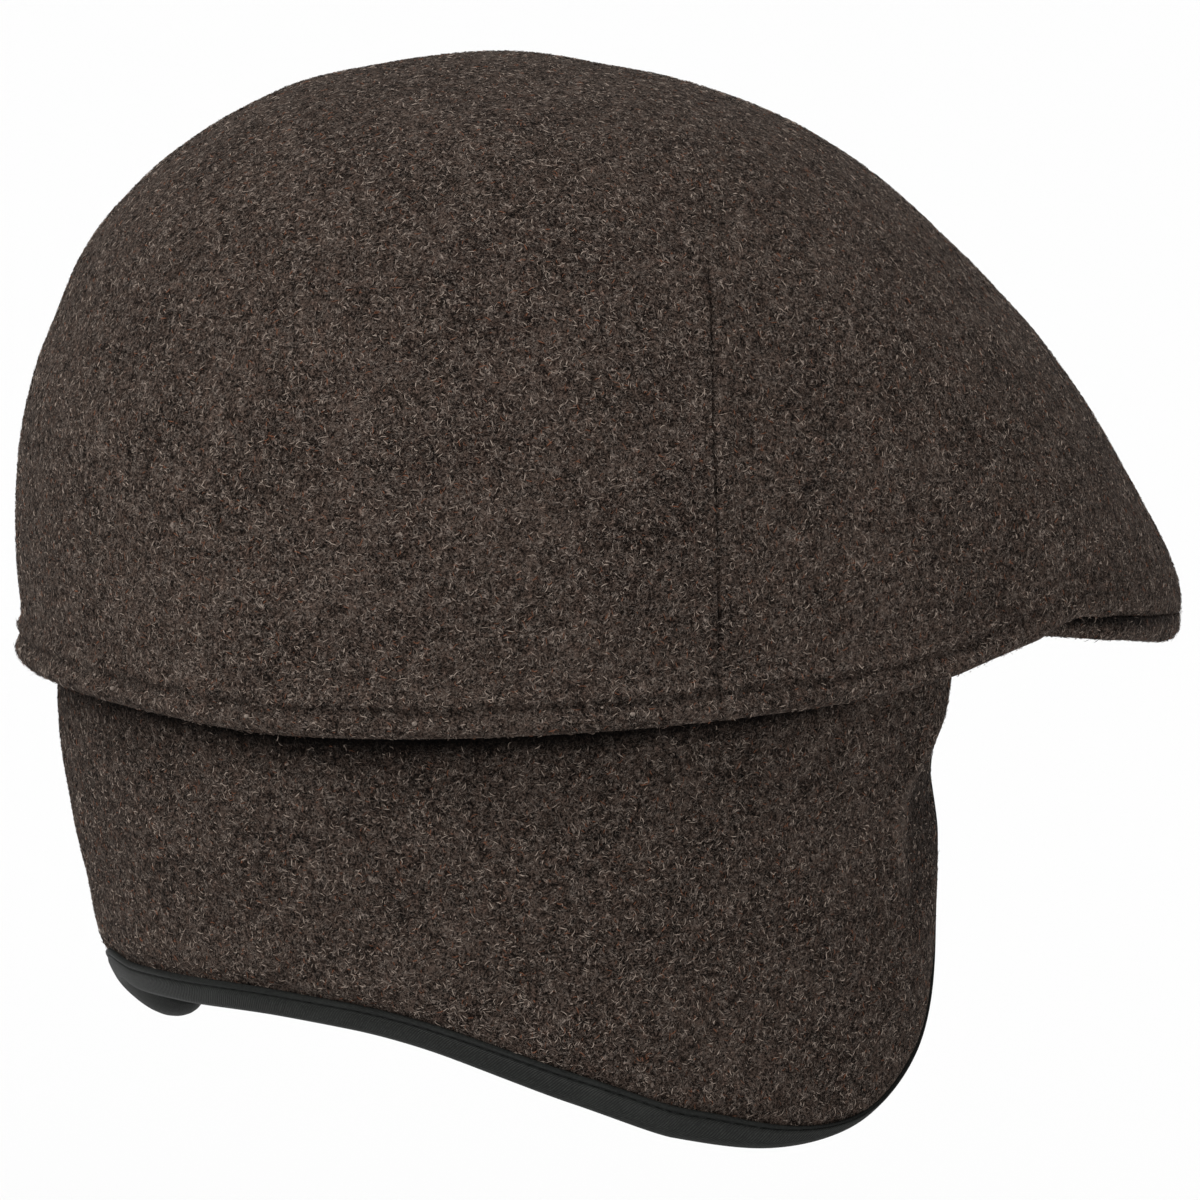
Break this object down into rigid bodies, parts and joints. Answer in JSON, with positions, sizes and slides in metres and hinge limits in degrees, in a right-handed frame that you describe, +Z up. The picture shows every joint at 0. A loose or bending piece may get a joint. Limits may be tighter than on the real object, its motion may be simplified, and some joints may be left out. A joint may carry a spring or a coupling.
{
  "type": "earflap flat cap",
  "caption": "Felt flat cap with a domed crown drawn over a short stiff peak and a fold-down felt earflap round the back, edged with dark twill tape.",
  "frame": {"origin": "middle of the head opening, level with the hem at the nape, where a head holds the cap", "axes": "+X forward to the peak, +Y to the wearer's left, +Z up to the top of the crown"},
  "size_m": [0.2503, 0.1888, 0.2144],
  "materials": {
    "crown_felt": "dark brown flecked wool felt with a short nap",
    "peak_felt": "dark brown flecked wool felt over a stiff board",
    "earflap_felt": "dark brown flecked wool felt with a short nap",
    "binding_twill": "black twill tape with a slight sheen"
  },
  "bodies": {
    "root": {"crown": "crown_felt", "peak": "peak_felt", "earflap": "earflap_felt", "binding": "binding_twill"}
  },
  "joints": []
}
